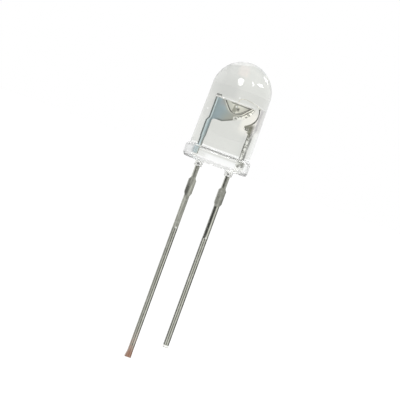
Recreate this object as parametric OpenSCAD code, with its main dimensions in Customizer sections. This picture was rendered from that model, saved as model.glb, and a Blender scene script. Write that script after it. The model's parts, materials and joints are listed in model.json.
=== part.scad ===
// A through-hole light-emitting diode with a clear 5 mm dome lens. Sizes are in millimetres.
// The origin is the centre of the flange's underside, which is the plane of the circuit board.
// +Z runs up the lens. Both leads lie on the X axis, the long one at -X.

/* [Lens] */
// Diameter of the lens where its dome begins
lens_d = 4.8; // [4.7:0.05:5]
// Slope of the barrel's side in degrees, widening towards the flange
lens_draft = 1.1; // [0.8:0.1:1.4]
// Height of the dome's top above the flange's underside
lens_h = 8.6; // [8.3:0.1:9.2]

/* [Flange] */
// Diameter of the flange
flange_d = 5.45; // [5.4:0.01:5.55]
// Thickness of the flange
flange_t = 1.14; // [1:0.02:1.2]
// Radius of the flange's upper edge
flange_edge_r = 0.28; // [0.26:0.01:0.3]
// Radius of the flange's lower edge
flange_low_r = 0.3; // [0.28:0.01:0.32]
// Radius of the hollow between the flange and the barrel
flange_root_r = 0.08; // [0.06:0.01:0.1]
// Gap between the barrel's root and the flange's flat
flat_gap = 0.035; // [0.02:0.005:0.05]

/* [Leads] */
// Distance between the centres of the two leads
lead_pitch = 2.54; // [2.5:0.01:2.6]
// Thickness of the sheet that both leads are stamped from
sheet_t = 0.45; // [0.4:0.01:0.5]
// Width of each lead below its stub
lead_w = 0.43; // [0.4:0.01:0.5]
// Radius of each lead's long edges
lead_edge_r = 0.07; // [0.04:0.01:0.1]
// How far the long lead reaches below the flange
long_lead = 16.6; // [14:0.1:27]
// How far the short lead reaches below the flange
short_lead = 14.9; // [12:0.1:25]
// How much wider the long lead's sheared tip is than the lead
tip_burr = 0.07; // [0.02:0.01:0.12]
// Width of each lead where it enters the epoxy
neck_w = 0.35; // [0.32:0.01:0.4]

/* [Stubs] */
// Distance from the flange down to the cut tie-bar stubs
stub_drop = 1.45; // [1.3:0.05:2]
// Height of a stub, with its slopes
stub_h = 1.45; // [1:0.05:1.8]
// Height of the slope at each end of a stub
stub_slope = 0.2; // [0.1:0.05:0.3]
// Width of a stub
stub_w = 0.6; // [0.54:0.02:0.62]

/* [Epoxy drops] */
// Radius of the epoxy drop round each lead, at the flange
drop_r = 0.39; // [0.39:0.01:0.46]
// How far each drop runs down its lead
drop_h = 0.46; // [0.2:0.02:0.5]

/* [Uprights] */
// Height inside the epoxy at which the necks begin to narrow
waist_z = 1; // [0.8:0.05:1.1]
// Height over which they narrow
waist_h = 0.14; // [0.1:0.02:0.3]
// Distance from the axis to the centre of the anvil's leg
leg_x = 1.21; // [1.18:0.005:1.24]
// Width of the anvil's leg
leg_w = 0.2; // [0.17:0.01:0.22]
// How much narrower the anvil's leg is at its lower end
leg_thin = 0.07; // [0.03:0.01:0.08]
// Height at which the anvil's leg has its full width
leg_z = 1.95; // [1.8:0.05:2.1]
// How much narrower the anvil's foot is than its neck
foot_thin = 0.1; // [0.04:0.01:0.12]
// How far the post's foot reaches towards the axis beyond its neck
toe_w = 0.08; // [0.04:0.01:0.1]
// Distance from the axis to the centre of the post
post_x = 1.215; // [1.2:0.005:1.23]
// Width of the post
post_w = 0.23; // [0.2:0.01:0.25]
// How far the post bows towards the axis
post_bow = 0.03; // [0:0.01:0.05]
// Height at which it bows the most
bow_z = 1.95; // [1.8:0.05:2.1]

/* [Anvil] */
// Height of the anvil's top edge
anvil_top = 5.28; // [5.1:0.02:5.4]
// Height of the anvil's lower edge
anvil_under = 3.48; // [3.44:0.02:3.6]
// Distance from the axis to the anvil's outer edge
anvil_out = 1.18; // [1.14:0.01:1.24]
// Distance from the axis to the anvil's inner end
anvil_in = 0.98; // [0.9:0.01:1]
// Radius of the sweep up to the anvil's inner end
anvil_sweep_r = 1.39; // [1.3:0.01:1.44]
// Depth of that sweep's centre below the anvil's top edge
anvil_sweep_drop = 0.09; // [0.05:0.01:0.13]
// Rise of the anvil's lower edge towards that sweep, in degrees
anvil_rise = 33; // [30:1:36]
// Radius of the inner corner between the leg and the head
anvil_corner_r = 0.2; // [0.12:0.01:0.24]
// Height over which the outer edge steps in from the leg to the head
step_h = 0.26; // [0.1:0.02:0.4]
// Width of the raised tab at the anvil's outer corner
tab_w = 0.16; // [0.1:0.02:0.3]
// Height of that tab
tab_h = 0.18; // [0.06:0.01:0.24]

/* [Reflector cup] */
// Offset of the cup and the chip from the lens axis
cup_x = 0.05; // [0:0.01:0.07]
// Outer radius of the cup at its rim
cup_out_r = 0.84; // [0.78:0.01:0.86]
// Outer radius of the cup where its rounded bottom begins
cup_low_r = 0.42; // [0.38:0.01:0.46]
// How far the cup's flared lip stands out beyond its wall
lip_out = 0.065; // [0.055:0.01:0.085]
// Height of that lip
lip_h = 0.14; // [0.12:0.01:0.18]
// Radius of the lip's rounded edge
lip_r = 0.04; // [0.03:0.005:0.05]
// Height of the cup's tapered wall above its rounded bottom
cup_wall_h = 0.72; // [0.64:0.02:0.76]
// Depth of the cup's rounded bottom
cup_round_h = 0.26; // [0.18:0.02:0.3]
// Inner radius of the cup at its rim
bowl_r = 0.72; // [0.64:0.01:0.74]
// Radius of the cup's flat floor
bowl_floor_r = 0.29; // [0.26:0.01:0.32]
// Depth of the cup's bowl
bowl_h = 0.4; // [0.34:0.01:0.44]

/* [Post] */
// Height of the post's top, where the wire is bonded, above the anvil's top edge
post_rise = 0.08; // [0.04:0.02:0.2]
// Distance from the axis to the outer edge of the post's head
post_out = 1.42; // [1.4:0.01:1.5]
// Radius of the post's hollow edge, which runs round the anvil
post_sweep_r = 1.32; // [1.28:0.01:1.33]
// Depth of that edge's centre, on the lens axis, below the anvil's top edge
post_sweep_drop = 0.44; // [0.4:0.02:0.5]
// Length of the post's spur, from the post towards the axis
spur_len = 0.34; // [0.26:0.02:0.36]
// Height of the spur's lower end on the post
spur_z = 3.2; // [3:0.05:3.25]
// Height of the spur's slope
spur_h = 0.34; // [0.26:0.02:0.36]

/* [Chip and wire] */
// Side of the square chip
die_w = 0.28; // [0.24:0.01:0.29]
// Height of the chip
die_h = 0.18; // [0.14:0.01:0.2]
// Radius of the adhesive layer under the chip
attach_r = 0.22; // [0.21:0.01:0.25]
// Thickness of the adhesive layer
attach_t = 0.025; // [0.02:0.005:0.04]
// Diameter of the bond wire
wire_d = 0.03; // [0.026:0.002:0.04]
// Radius of the ball that joins the wire to the chip
ball_r = 0.05; // [0.046:0.002:0.06]
// Height of the wire's bend above the chip
wire_rise = 0.32; // [0.28:0.02:0.4]
// Radius of that bend
bend_r = 0.3; // [0.26:0.02:0.34]
// Distance from the post's outer edge to the wire's pressed joint
stitch_edge = 0.14; // [0.12:0.01:0.16]
// Radius of the pressed joint on the post
stitch_r = 0.05; // [0.04:0.005:0.07]
// Height of the pressed joint on the post
stitch_h = 0.034; // [0.032:0.002:0.04]

/* [Hidden] */
$fn = 96;
// pieces of one body run into each other by this much
lap = 0.3;
// width of the epoxy that is left round a neck at a drop's lower end
drop_lip = 0.03;
dome_r = lens_d / 2;
dome_z = lens_h - dome_r;
meet_r = dome_r * cos(lens_draft);
meet_z = dome_z + dome_r * sin(lens_draft);
root_r = meet_r + (meet_z - flange_t) * tan(lens_draft);
edge_x = flange_d / 2 - flange_edge_r;
edge_z = flange_t - flange_edge_r;
flat_x = root_r + flat_gap;
lead_x = lead_pitch / 2;
neck_in = lead_x - neck_w / 2;
neck_out = lead_x + neck_w / 2;
stub_end = stub_drop + stub_h;
waist_top = waist_z + waist_h;
leg_in = leg_x - leg_w / 2;
leg_out = leg_x + leg_w / 2;
post_in = post_x - post_w / 2;
post_side = post_x + post_w / 2;
drop_low_r = norm([neck_w, sheet_t]) / 2 + drop_lip;
drop_bow = (pow(drop_r - drop_low_r, 2) + pow(drop_h, 2)) / (2 * (drop_r - drop_low_r));
post_top = anvil_top + post_rise;
post_sweep_z = anvil_top - post_sweep_drop;
sweep_x = anvil_in - anvil_sweep_r;
sweep_z = anvil_top - anvil_sweep_drop;
cup_low_z = anvil_top - cup_wall_h;
cup_ball_r = (pow(cup_low_r, 2) + pow(cup_round_h, 2)) / (2 * cup_round_h);
bowl_z = anvil_top - bowl_h;
die_z = bowl_z + attach_t;
wire_r = wire_d / 2;
wire_z = die_z + die_h;
bend_x = cup_x + bend_r;
bend_z = wire_z + wire_rise;
crest_z = bend_z + bend_r;
stitch_x = post_out - stitch_edge;
stitch_z = post_top + wire_r;
fall_x = stitch_x - bend_x;
fall_z = crest_z - stitch_z;
// rounded so that the two bends of the wire share one exact circle
fall_r = round((fall_x * fall_x + fall_z * fall_z) / (2 * fall_z) * 1000) / 1000;

// Which piece to draw

// A stamped plate in the plane of the leads, from an outline in X and Z
module plate() {
    rotate([90, 0, 0])
        linear_extrude(height = sheet_t, center = true)
            children();
}

// Section of the whole epoxy body, to be turned round the lens axis
module lens_section() {
    intersection() {
        translate([0, dome_z])
            circle(r = dome_r);
        translate([0, meet_z])
            square([dome_r, dome_r]);
    }
    polygon([
        [0, flange_t - lap], [root_r, flange_t - lap], [root_r, flange_t],
        [meet_r, meet_z], [0, meet_z]
    ]);
    flange_section();
    root_section();
}

// Section of the flange, with its two rounded outer edges
module flange_section() {
    square([flange_d / 2 - flange_low_r, flange_low_r]);
    translate([0, flange_low_r])
        square([flange_d / 2, flange_t - flange_low_r - flange_edge_r]);
    translate([0, flange_t - flange_edge_r])
        square([flange_d / 2 - flange_edge_r, flange_edge_r]);
    translate([flange_d / 2 - flange_low_r, flange_low_r])
        circle(r = flange_low_r);
    translate([flange_d / 2 - flange_edge_r, flange_t - flange_edge_r])
        circle(r = flange_edge_r);
}

// Section of the hollow that runs smoothly from the flange's upper edge into the barrel
module root_section() {
    // the hollow's centre, seen from the centre of the flange's upper edge
    reach = flange_edge_r + flange_root_r;
    away = flange_root_r + (root_r - edge_x) * cos(lens_draft) + flange_edge_r * sin(lens_draft);
    rise = sqrt(reach * reach - away * away);
    hollow_x = edge_x + away * cos(lens_draft) - rise * sin(lens_draft);
    hollow_z = edge_z + away * sin(lens_draft) + rise * cos(lens_draft);
    touch = flange_edge_r / reach;
    touch_x = edge_x + touch * (hollow_x - edge_x);
    touch_z = edge_z + touch * (hollow_z - edge_z);
    side_x = hollow_x - flange_root_r * cos(lens_draft);
    side_z = hollow_z - flange_root_r * sin(lens_draft);
    difference() {
        polygon([
            [edge_x - lap, edge_z], [edge_x, edge_z], [touch_x, touch_z],
            [hollow_x, hollow_z], [side_x, side_z], [edge_x - lap, side_z]
        ]);
        translate([hollow_x, hollow_z])
            circle(r = flange_root_r);
    }
}

// The drop of epoxy that has run down one lead, with a hollow side
module drop() {
    rotate_extrude()
        difference() {
            translate([0, -drop_h])
                square([drop_r, drop_h + lap]);
            translate([drop_low_r + drop_bow, -drop_h])
                circle(r = drop_bow);
            translate([drop_r, 0])
                square([drop_r, 2 * lap]);
        }
}

module epoxy_lens() {
    color([0.86, 0.88, 0.87, 0.4])
        difference() {
            union() {
                difference() {
                    rotate_extrude()
                        lens_section();
                    translate([flat_x, -flange_d, -flange_t])
                        cube([flange_d, 2 * flange_d, 2 * flange_t + 2 * flange_root_r]);
                }
                for (x = [-lead_x, lead_x])
                    translate([x, 0, 0])
                        drop();
            }
            anvil_lead();
            post_lead();
            die_attach();
            led_die();
            bond_wire();
        }
}

// One lead below its stub, with rounded long edges
module lead_rod(reach) {
    long_side = lead_w - 2 * lead_edge_r;
    deep_side = sheet_t - 2 * lead_edge_r;
    translate([0, 0, -reach])
        linear_extrude(height = reach - stub_end + stub_slope) {
            square([lead_w, deep_side], center = true);
            square([long_side, sheet_t], center = true);
            for (x = [-0.5, 0.5], y = [-0.5, 0.5])
                translate([x * long_side, y * deep_side])
                    circle(r = lead_edge_r);
        }
}

// Outline of the stub left by the cut tie bar, and of the neck above it
module stub_outline() {
    translate([-neck_w / 2, -stub_drop - lap])
        square([neck_w, stub_drop + lap]);
    polygon([
        [-neck_w / 2, -stub_drop], [-stub_w / 2, -stub_drop - stub_slope],
        [-stub_w / 2, stub_slope - stub_end], [-lead_w / 2, -stub_end],
        [lead_w / 2, -stub_end], [stub_w / 2, stub_slope - stub_end],
        [stub_w / 2, -stub_drop - stub_slope], [neck_w / 2, -stub_drop]
    ]);
}

// Outline of the anvil's leg and head, above the flange's underside
module anvil_outline() {
    thin_in = leg_in + leg_thin / 2;
    thin_out = leg_out - leg_thin / 2;
    foot_in = neck_in + foot_thin;
    polygon([
        [-neck_out, -lap], [-neck_out, waist_z], [-thin_out, waist_top], [-thin_out, leg_z - waist_h],
        [-leg_out, leg_z], [-leg_out, anvil_under - step_h], [-anvil_out, anvil_under],
        [-anvil_out, anvil_under + lap], [-leg_in, anvil_under + lap], [-leg_in, leg_z],
        [-thin_in, leg_z - waist_h], [-thin_in, waist_top],
        [-foot_in, waist_z], [-foot_in, foot_thin], [-neck_in, 0], [-neck_in, -lap]
    ]);
    // the lower edge rises in a straight line that runs smoothly into the sweep
    rise_x = sweep_x + anvil_sweep_r * sin(anvil_rise);
    rise_z = sweep_z - anvil_sweep_r * cos(anvil_rise);
    rise_from = rise_x - (rise_z - anvil_under) / tan(anvil_rise);
    polygon([
        [-anvil_out, anvil_under], [rise_from, anvil_under], [rise_x, rise_z], [rise_x, sweep_z],
        [anvil_in, sweep_z], [anvil_in, anvil_top], [-anvil_out, anvil_top]
    ]);
    intersection() {
        translate([0, rise_z])
            square([anvil_in, anvil_top - rise_z]);
        translate([sweep_x, sweep_z])
            circle(r = anvil_sweep_r);
    }
    difference() {
        translate([-leg_in - leg_thin / 2, anvil_under - anvil_corner_r])
            square(anvil_corner_r + leg_thin / 2);
        translate([anvil_corner_r - leg_in, anvil_under - anvil_corner_r])
            circle(r = anvil_corner_r);
    }
    translate([-anvil_out, anvil_top - lap])
        square([tab_w, tab_h + lap]);
}

// Section of the cup's outside, to be turned round the cup's own axis
module cup_section() {
    lip_z = anvil_top - lip_h;
    lip_in = cup_low_r + (cup_out_r - cup_low_r) * (lip_z - cup_low_z) / cup_wall_h;
    lip_x = cup_out_r + lip_out - lip_r;
    polygon([
        [0, cup_low_z], [cup_low_r, cup_low_z], [lip_in, lip_z], [lip_x, anvil_top - 2 * lip_r],
        [lip_x, anvil_top], [0, anvil_top]
    ]);
    translate([lip_x, anvil_top - lip_r])
        circle(r = lip_r);
    intersection() {
        translate([0, cup_low_z - cup_round_h + cup_ball_r])
            circle(r = cup_ball_r);
        translate([0, cup_low_z - cup_round_h])
            square([cup_out_r, cup_round_h]);
    }
}

module anvil_lead() {
    color([0.66, 0.67, 0.66])
        difference() {
            union() {
                plate() {
                    anvil_outline();
                    translate([-lead_x, 0])
                        stub_outline();
                    translate([-lead_x, -long_lead])
                        polygon([
                            [-lead_w / 2 - tip_burr, 0], [lead_w / 2, 0],
                            [lead_w / 2, lead_w], [-lead_w / 2, lead_w]
                        ]);
                }
                translate([-lead_x, 0, 0])
                    lead_rod(long_lead);
                translate([cup_x, 0, 0])
                    rotate_extrude()
                        cup_section();
            }
            translate([cup_x, 0, bowl_z])
                cylinder(h = bowl_h, r1 = bowl_floor_r, r2 = bowl_r);
        }
}

// Outline of the post and of its head, which follows the anvil
module post_outline() {
    spur_top = spur_z + spur_h;
    difference() {
        polygon([
            [neck_in, -lap], [neck_in, 0], [neck_in - toe_w, toe_w], [neck_in - toe_w, waist_z],
            [post_in, waist_top], [post_in - post_bow, bow_z],
            [post_in, spur_z], [post_in - spur_len, spur_top], [post_in - spur_len, post_top],
            [post_out, post_top], [post_out, spur_top], [post_side, spur_z],
            [post_side - post_bow, bow_z], [post_side, waist_top], [neck_out, waist_z], [neck_out, -lap]
        ]);
        translate([0, post_sweep_z])
            circle(r = post_sweep_r);
    }
}

module post_lead() {
    color([0.66, 0.67, 0.66]) {
        plate() {
            post_outline();
            translate([lead_x, 0])
                stub_outline();
        }
        translate([lead_x, 0, 0])
            lead_rod(short_lead);
    }
}

module die_attach() {
    color([0.55, 0.55, 0.53])
        translate([cup_x, 0, bowl_z])
            cylinder(h = attach_t, r = attach_r);
}

module led_die() {
    color([0.9, 0.88, 0.74])
        translate([cup_x - die_w / 2, -die_w / 2, die_z])
            cube([die_w, die_w, die_h]);
}

// A length of wire bent round a centre at the origin, from straight up towards +X
module wire_bend(radius, angle) {
    rotate([90, 0, 0])
        rotate([0, 0, 90])
            rotate_extrude(angle = angle)
                translate([radius, 0])
                    circle(r = wire_r);
}

module bond_wire() {
    color([0.85, 0.65, 0.3]) {
        difference() {
            translate([cup_x, 0, wire_z + ball_r / 2])
                sphere(r = ball_r);
            translate([cup_x - ball_r, -ball_r, wire_z - ball_r])
                cube([2 * ball_r, 2 * ball_r, ball_r]);
        }
        translate([cup_x, 0, wire_z + ball_r])
            cylinder(h = wire_rise - ball_r, r = wire_r);
        translate([bend_x, 0, bend_z])
            wire_bend(bend_r, 90);
        translate([bend_x, 0, crest_z - fall_r])
            mirror([1, 0, 0])
                wire_bend(fall_r, asin(fall_x / fall_r));
        translate([stitch_x, 0, post_top])
            cylinder(h = stitch_h, r = stitch_r);
    }
}

epoxy_lens();
anvil_lead();
post_lead();
die_attach();
led_die();
bond_wire();
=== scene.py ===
"""The look of a clear through-hole light-emitting diode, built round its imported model."""

from __future__ import annotations

import json
import logging
import math
from dataclasses import dataclass
from enum import Enum

import bmesh
import bpy
from bpy.types import Material, Node, NodeSocket, NodeTree, Object
from mathutils import Matrix, Vector

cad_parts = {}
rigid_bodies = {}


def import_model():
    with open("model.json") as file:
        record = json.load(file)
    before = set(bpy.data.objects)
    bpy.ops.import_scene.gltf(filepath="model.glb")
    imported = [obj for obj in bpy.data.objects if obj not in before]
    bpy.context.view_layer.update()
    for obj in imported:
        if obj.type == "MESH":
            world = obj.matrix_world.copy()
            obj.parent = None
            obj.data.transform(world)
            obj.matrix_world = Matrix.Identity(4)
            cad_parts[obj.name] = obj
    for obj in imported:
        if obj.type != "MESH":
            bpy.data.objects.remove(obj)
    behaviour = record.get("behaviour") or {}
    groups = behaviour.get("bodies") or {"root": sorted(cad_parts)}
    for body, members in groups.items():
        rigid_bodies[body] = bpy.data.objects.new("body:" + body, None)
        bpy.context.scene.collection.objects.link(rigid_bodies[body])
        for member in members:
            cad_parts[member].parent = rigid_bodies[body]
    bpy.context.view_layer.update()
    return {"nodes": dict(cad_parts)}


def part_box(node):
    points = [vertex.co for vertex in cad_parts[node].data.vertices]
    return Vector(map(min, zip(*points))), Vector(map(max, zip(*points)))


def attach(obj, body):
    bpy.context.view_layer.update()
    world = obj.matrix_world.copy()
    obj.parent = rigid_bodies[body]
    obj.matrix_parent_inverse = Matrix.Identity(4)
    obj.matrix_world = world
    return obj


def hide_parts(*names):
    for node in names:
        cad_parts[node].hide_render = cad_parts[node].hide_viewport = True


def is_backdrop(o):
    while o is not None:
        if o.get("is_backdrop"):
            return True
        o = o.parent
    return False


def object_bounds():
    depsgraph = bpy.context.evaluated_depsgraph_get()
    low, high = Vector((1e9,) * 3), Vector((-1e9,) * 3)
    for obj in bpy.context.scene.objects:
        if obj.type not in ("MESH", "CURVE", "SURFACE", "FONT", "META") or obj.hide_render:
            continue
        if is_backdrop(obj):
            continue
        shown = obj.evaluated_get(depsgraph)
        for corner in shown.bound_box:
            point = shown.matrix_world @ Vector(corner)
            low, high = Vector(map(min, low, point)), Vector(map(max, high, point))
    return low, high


LOG = logging.getLogger("led")
MM = 0.001
ROOT = "root"
WHITE = (1.0, 1.0, 1.0)
ON_AXIS = 1e-6

Colour = tuple[float, float, float]
Point = tuple[float, float]
Span = tuple[float, float]
Tones = tuple[float, float, float, float, float]
Feed = NodeSocket | float | Colour


class Side(Enum):
    """The side of the lens axis that a lead lies on."""

    LONG = -1
    SHORT = 1


# ---------------------------------------------------------------- node tools


@dataclass
class Wires:
    """A short way to place and join shader nodes in one tree."""

    tree: NodeTree

    def add(self, kind: str, **values: object) -> Node:
        """Places a node.

        Args:
            kind: The node's type name, without its "ShaderNode" start.
            values: Settings of the node itself.

        Returns:
            The new node.
        """
        node = self.tree.nodes.new("ShaderNode" + kind)
        for name, value in values.items():
            setattr(node, name, value)
        return node

    def feed(self, socket: NodeSocket, value: Feed) -> None:
        """Feeds an input from another socket, or sets it.

        Args:
            socket: The input socket.
            value: An output socket, a number, a colour or a vector.
        """
        if isinstance(value, NodeSocket):
            self.tree.links.new(value, socket)
        elif isinstance(value, tuple) and len(value) == 3 and socket.type == "RGBA":
            socket.default_value = (*value, 1.0)
        else:
            socket.default_value = value

    def math(self, operation: str, a: Feed, b: Feed = 0.0) -> NodeSocket:
        """Joins two values by arithmetic.

        Args:
            operation: The Math node's operation.
            a: The first value or socket.
            b: The second value or socket.

        Returns:
            The output socket.
        """
        node = self.add("Math", operation=operation)
        self.feed(node.inputs[0], a)
        self.feed(node.inputs[1], b)
        return node.outputs[0]

    def span(
        self, kind: str, value: NodeSocket, low: float, high: float, out_low: Feed, out_high: Feed
    ) -> NodeSocket:
        """Maps a range of a value onto another, held beyond its ends.

        Args:
            kind: The Map Range node's interpolation.
            value: The socket that is read.
            low: The value that gives out_low.
            high: The value that gives out_high.
            out_low: The output at low.
            out_high: The output at high.

        Returns:
            The output socket.
        """
        node = self.add("MapRange", interpolation_type=kind)
        items = (value, low, high, out_low, out_high)
        for name, item in zip(("Value", "From Min", "From Max", "To Min", "To Max"), items):
            self.feed(node.inputs[name], item)
        return node.outputs[0]

    def ramp(
        self, value: NodeSocket, low: float, high: float, out_low: Feed = 0.0, out_high: Feed = 1.0
    ) -> NodeSocket:
        """Maps a range of a value smoothly onto another, with the arguments of span."""
        return self.span("SMOOTHSTEP", value, low, high, out_low, out_high)

    def ramp_line(
        self, value: NodeSocket, low: float, high: float, out_low: Feed = 0.0, out_high: Feed = 1.0
    ) -> NodeSocket:
        """Maps a range of a value onto another in a straight line, with the arguments of span."""
        return self.span("LINEAR", value, low, high, out_low, out_high)

    def band(self, value: NodeSocket, low: float, high: float, soft: float) -> NodeSocket:
        """Masks a range of a value, with soft ends outside it.

        Args:
            value: The socket that is read.
            low: Where the mask is full from.
            high: Where the mask is full to.
            soft: How wide each end is.

        Returns:
            The mask's socket.
        """
        return self.math("MULTIPLY", self.ramp(value, low - soft, low), self.ramp(value, high + soft, high))

    def use(self, group: str, inputs: dict[str, Feed]) -> Node:
        """Places a node group.

        Args:
            group: The group's name.
            inputs: What feeds each of its inputs.

        Returns:
            The group's node.
        """
        node = self.tree.nodes.new("ShaderNodeGroup")
        node.node_tree = bpy.data.node_groups[group]
        for name, value in inputs.items():
            self.feed(node.inputs[name], value)
        return node

    def mix(self, share: Feed, a: Feed, b: Feed) -> NodeSocket:
        """Mixes two colours.

        Args:
            share: How much of the second colour shows.
            a: The first colour or socket.
            b: The second colour or socket.

        Returns:
            The mixed colour's socket.
        """
        node = self.add("Mix", data_type="RGBA")
        colours = [socket for socket in node.inputs if socket.type == "RGBA"]
        self.feed(node.inputs["Factor"], share)
        self.feed(colours[0], a)
        self.feed(colours[1], b)
        return next(socket for socket in node.outputs if socket.type == "RGBA")

    def layer(self, under: Feed, mask: NodeSocket, paint: Feed, share: float = 1.0) -> NodeSocket:
        """Lays a colour over another where a mask says.

        Args:
            under: The colour or socket below.
            mask: The mask's socket.
            paint: The colour or socket on top.
            share: How much of it shows at most.

        Returns:
            The colour's socket.
        """
        return self.mix(mask if share == 1.0 else self.math("MULTIPLY", mask, share), under, paint)

    def all_of(self, first: NodeSocket, *others: NodeSocket) -> NodeSocket:
        """Multiplies masks, so that all of them must hold.

        Args:
            first: The first mask's socket.
            others: The other masks' sockets.

        Returns:
            The joint mask's socket.
        """
        for other in others:
            first = self.math("MULTIPLY", first, other)
        return first

    def noise(self, vector: NodeSocket, scale: float, detail: float = 3.0, rough: float = 0.5) -> NodeSocket:
        """Reads a cloudy noise.

        Args:
            vector: The coordinates' socket.
            scale: How many clouds there are to a unit.
            detail: How many finer layers are added.
            rough: How strong the finer layers are.

        Returns:
            The noise value's socket.
        """
        node = self.add("TexNoise")
        self.feed(node.inputs["Vector"], vector)
        self.feed(node.inputs["Scale"], scale)
        self.feed(node.inputs["Detail"], detail)
        self.feed(node.inputs["Roughness"], rough)
        return node.outputs["Fac"]

    def distance(self, x: NodeSocket, z: NodeSocket, centre: Point) -> NodeSocket:
        """Measures how far a point lies from a centre, in two directions.

        Args:
            x: The socket of the point's first coordinate.
            z: The socket of the point's second coordinate.
            centre: The centre's two coordinates.

        Returns:
            The distance's socket.
        """
        across = self.math("SUBTRACT", x, centre[0])
        rise = self.math("SUBTRACT", z, centre[1])
        both = self.math("ADD", self.math("MULTIPLY", across, across), self.math("MULTIPLY", rise, rise))
        return self.math("SQRT", both)

    def place(self) -> tuple[NodeSocket, NodeSocket, NodeSocket, NodeSocket]:
        """Reads where a point is, in millimetres in the part's own frame.

        Returns:
            The vector's socket, and the sockets of its X, Y and Z.
        """
        at = self.add("TexCoord").outputs["Object"]
        scaled = self.add("VectorMath", operation="SCALE")
        self.feed(scaled.inputs[0], at)
        self.feed(scaled.inputs["Scale"], 1 / MM)
        split = self.add("SeparateXYZ")
        self.feed(split.inputs[0], scaled.outputs[0])
        return scaled.outputs[0], split.outputs[0], split.outputs[1], split.outputs[2]


def new_material(name: str) -> tuple[Material, Wires, Node]:
    """Starts a material with one Principled shader.

    Args:
        name: The material's name.

    Returns:
        The material, its wires and its shader node.
    """
    material = bpy.data.materials.new(name)
    material.use_nodes = True
    wires = Wires(material.node_tree)
    return material, wires, material.node_tree.nodes["Principled BSDF"]


# ---------------------------------------------------------------- shared effects


@dataclass
class Effects:
    """Shader node groups that several finishes share. Scales are in clouds to a millimetre."""

    streak_scale: tuple[float, float, float] = (14.0, 14.0, 0.7)
    mottle_scale: float = 3.2
    crown_depth: float = -0.5
    edge: Span = (0.5, 0.95)

    def build(self) -> None:
        """Builds every group."""
        self.grain()
        self.strip()

    def group(self, name: str, inputs: tuple[str, ...], outputs: tuple[str, ...]) -> tuple[Wires, Node, Node]:
        """Starts a group of shader nodes.

        Args:
            name: The group's name.
            inputs: Names of the inputs; Position is a vector and the others are values.
            outputs: Names of the output values.

        Returns:
            The group's wires, and its input and output nodes.
        """
        tree = bpy.data.node_groups.new(name, "ShaderNodeTree")
        for item in inputs:
            kind = "NodeSocketVector" if item == "Position" else "NodeSocketFloat"
            tree.interface.new_socket(item, in_out="INPUT", socket_type=kind)
        for item in outputs:
            tree.interface.new_socket(item, in_out="OUTPUT", socket_type="NodeSocketFloat")
        return Wires(tree), tree.nodes.new("NodeGroupInput"), tree.nodes.new("NodeGroupOutput")

    def grain(self) -> None:
        """Builds rolled sheet's grain: fine streaks along the lead, and larger mottling."""
        wires, given, out = self.group("sheet_grain", ("Position",), ("Streaks", "Mottling"))
        squeeze = wires.add("Mapping")
        wires.feed(squeeze.inputs["Vector"], given.outputs["Position"])
        wires.feed(squeeze.inputs["Scale"], self.streak_scale)
        wires.feed(out.inputs["Streaks"], wires.noise(squeeze.outputs[0], 1.0, 3.0, 0.6))
        mottling = wires.noise(given.outputs["Position"], self.mottle_scale, 3.0, 0.6)
        wires.feed(out.inputs["Mottling"], mottling)

    def strip(self) -> None:
        """Builds the rounding of a stamped strip's face across its width."""
        takes, gives = ("Position", "Centre", "Half Width"), ("Across", "Crown", "Edges")
        wires, given, out = self.group("strip_profile", takes, gives)
        split = wires.add("SeparateXYZ")
        wires.feed(split.inputs[0], given.outputs["Position"])
        off = wires.math("SUBTRACT", split.outputs[0], given.outputs["Centre"])
        across = wires.math("DIVIDE", off, given.outputs["Half Width"])
        square = wires.math("MULTIPLY", across, across)
        wires.feed(out.inputs["Across"], across)
        wires.feed(out.inputs["Crown"], wires.math("MULTIPLY", square, self.crown_depth))
        wires.feed(out.inputs["Edges"], wires.ramp(wires.math("ABSOLUTE", across), *self.edge))


# ---------------------------------------------------------------- finishes, with their painted light and shade


@dataclass(frozen=True)
class Patch:
    """A soft-edged region of a surface painted in another colour, mostly painted light, painted shade or a
    painted highlight. Sizes in millimetres.
    """

    colour: Colour
    x: Span
    z: Span
    soft: float = 0.3
    soft_z: float = 0.3
    share: float = 1.0

    def lay(
        self, wires: Wires, under: Feed, x: NodeSocket, z: NodeSocket, where: NodeSocket | None = None
    ) -> NodeSocket:
        """Lays the patch over a colour.

        Args:
            wires: The material's wires.
            under: The colour so far.
            x: The point's X socket.
            z: The point's Z socket.
            where: A mask that the patch keeps inside, if any.

        Returns:
            The colour's socket.
        """
        mask = wires.all_of(wires.band(x, *self.x, self.soft), wires.band(z, *self.z, self.soft_z))
        if where is not None:
            mask = wires.all_of(mask, where)
        return wires.layer(under, mask, self.colour, self.share)


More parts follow.
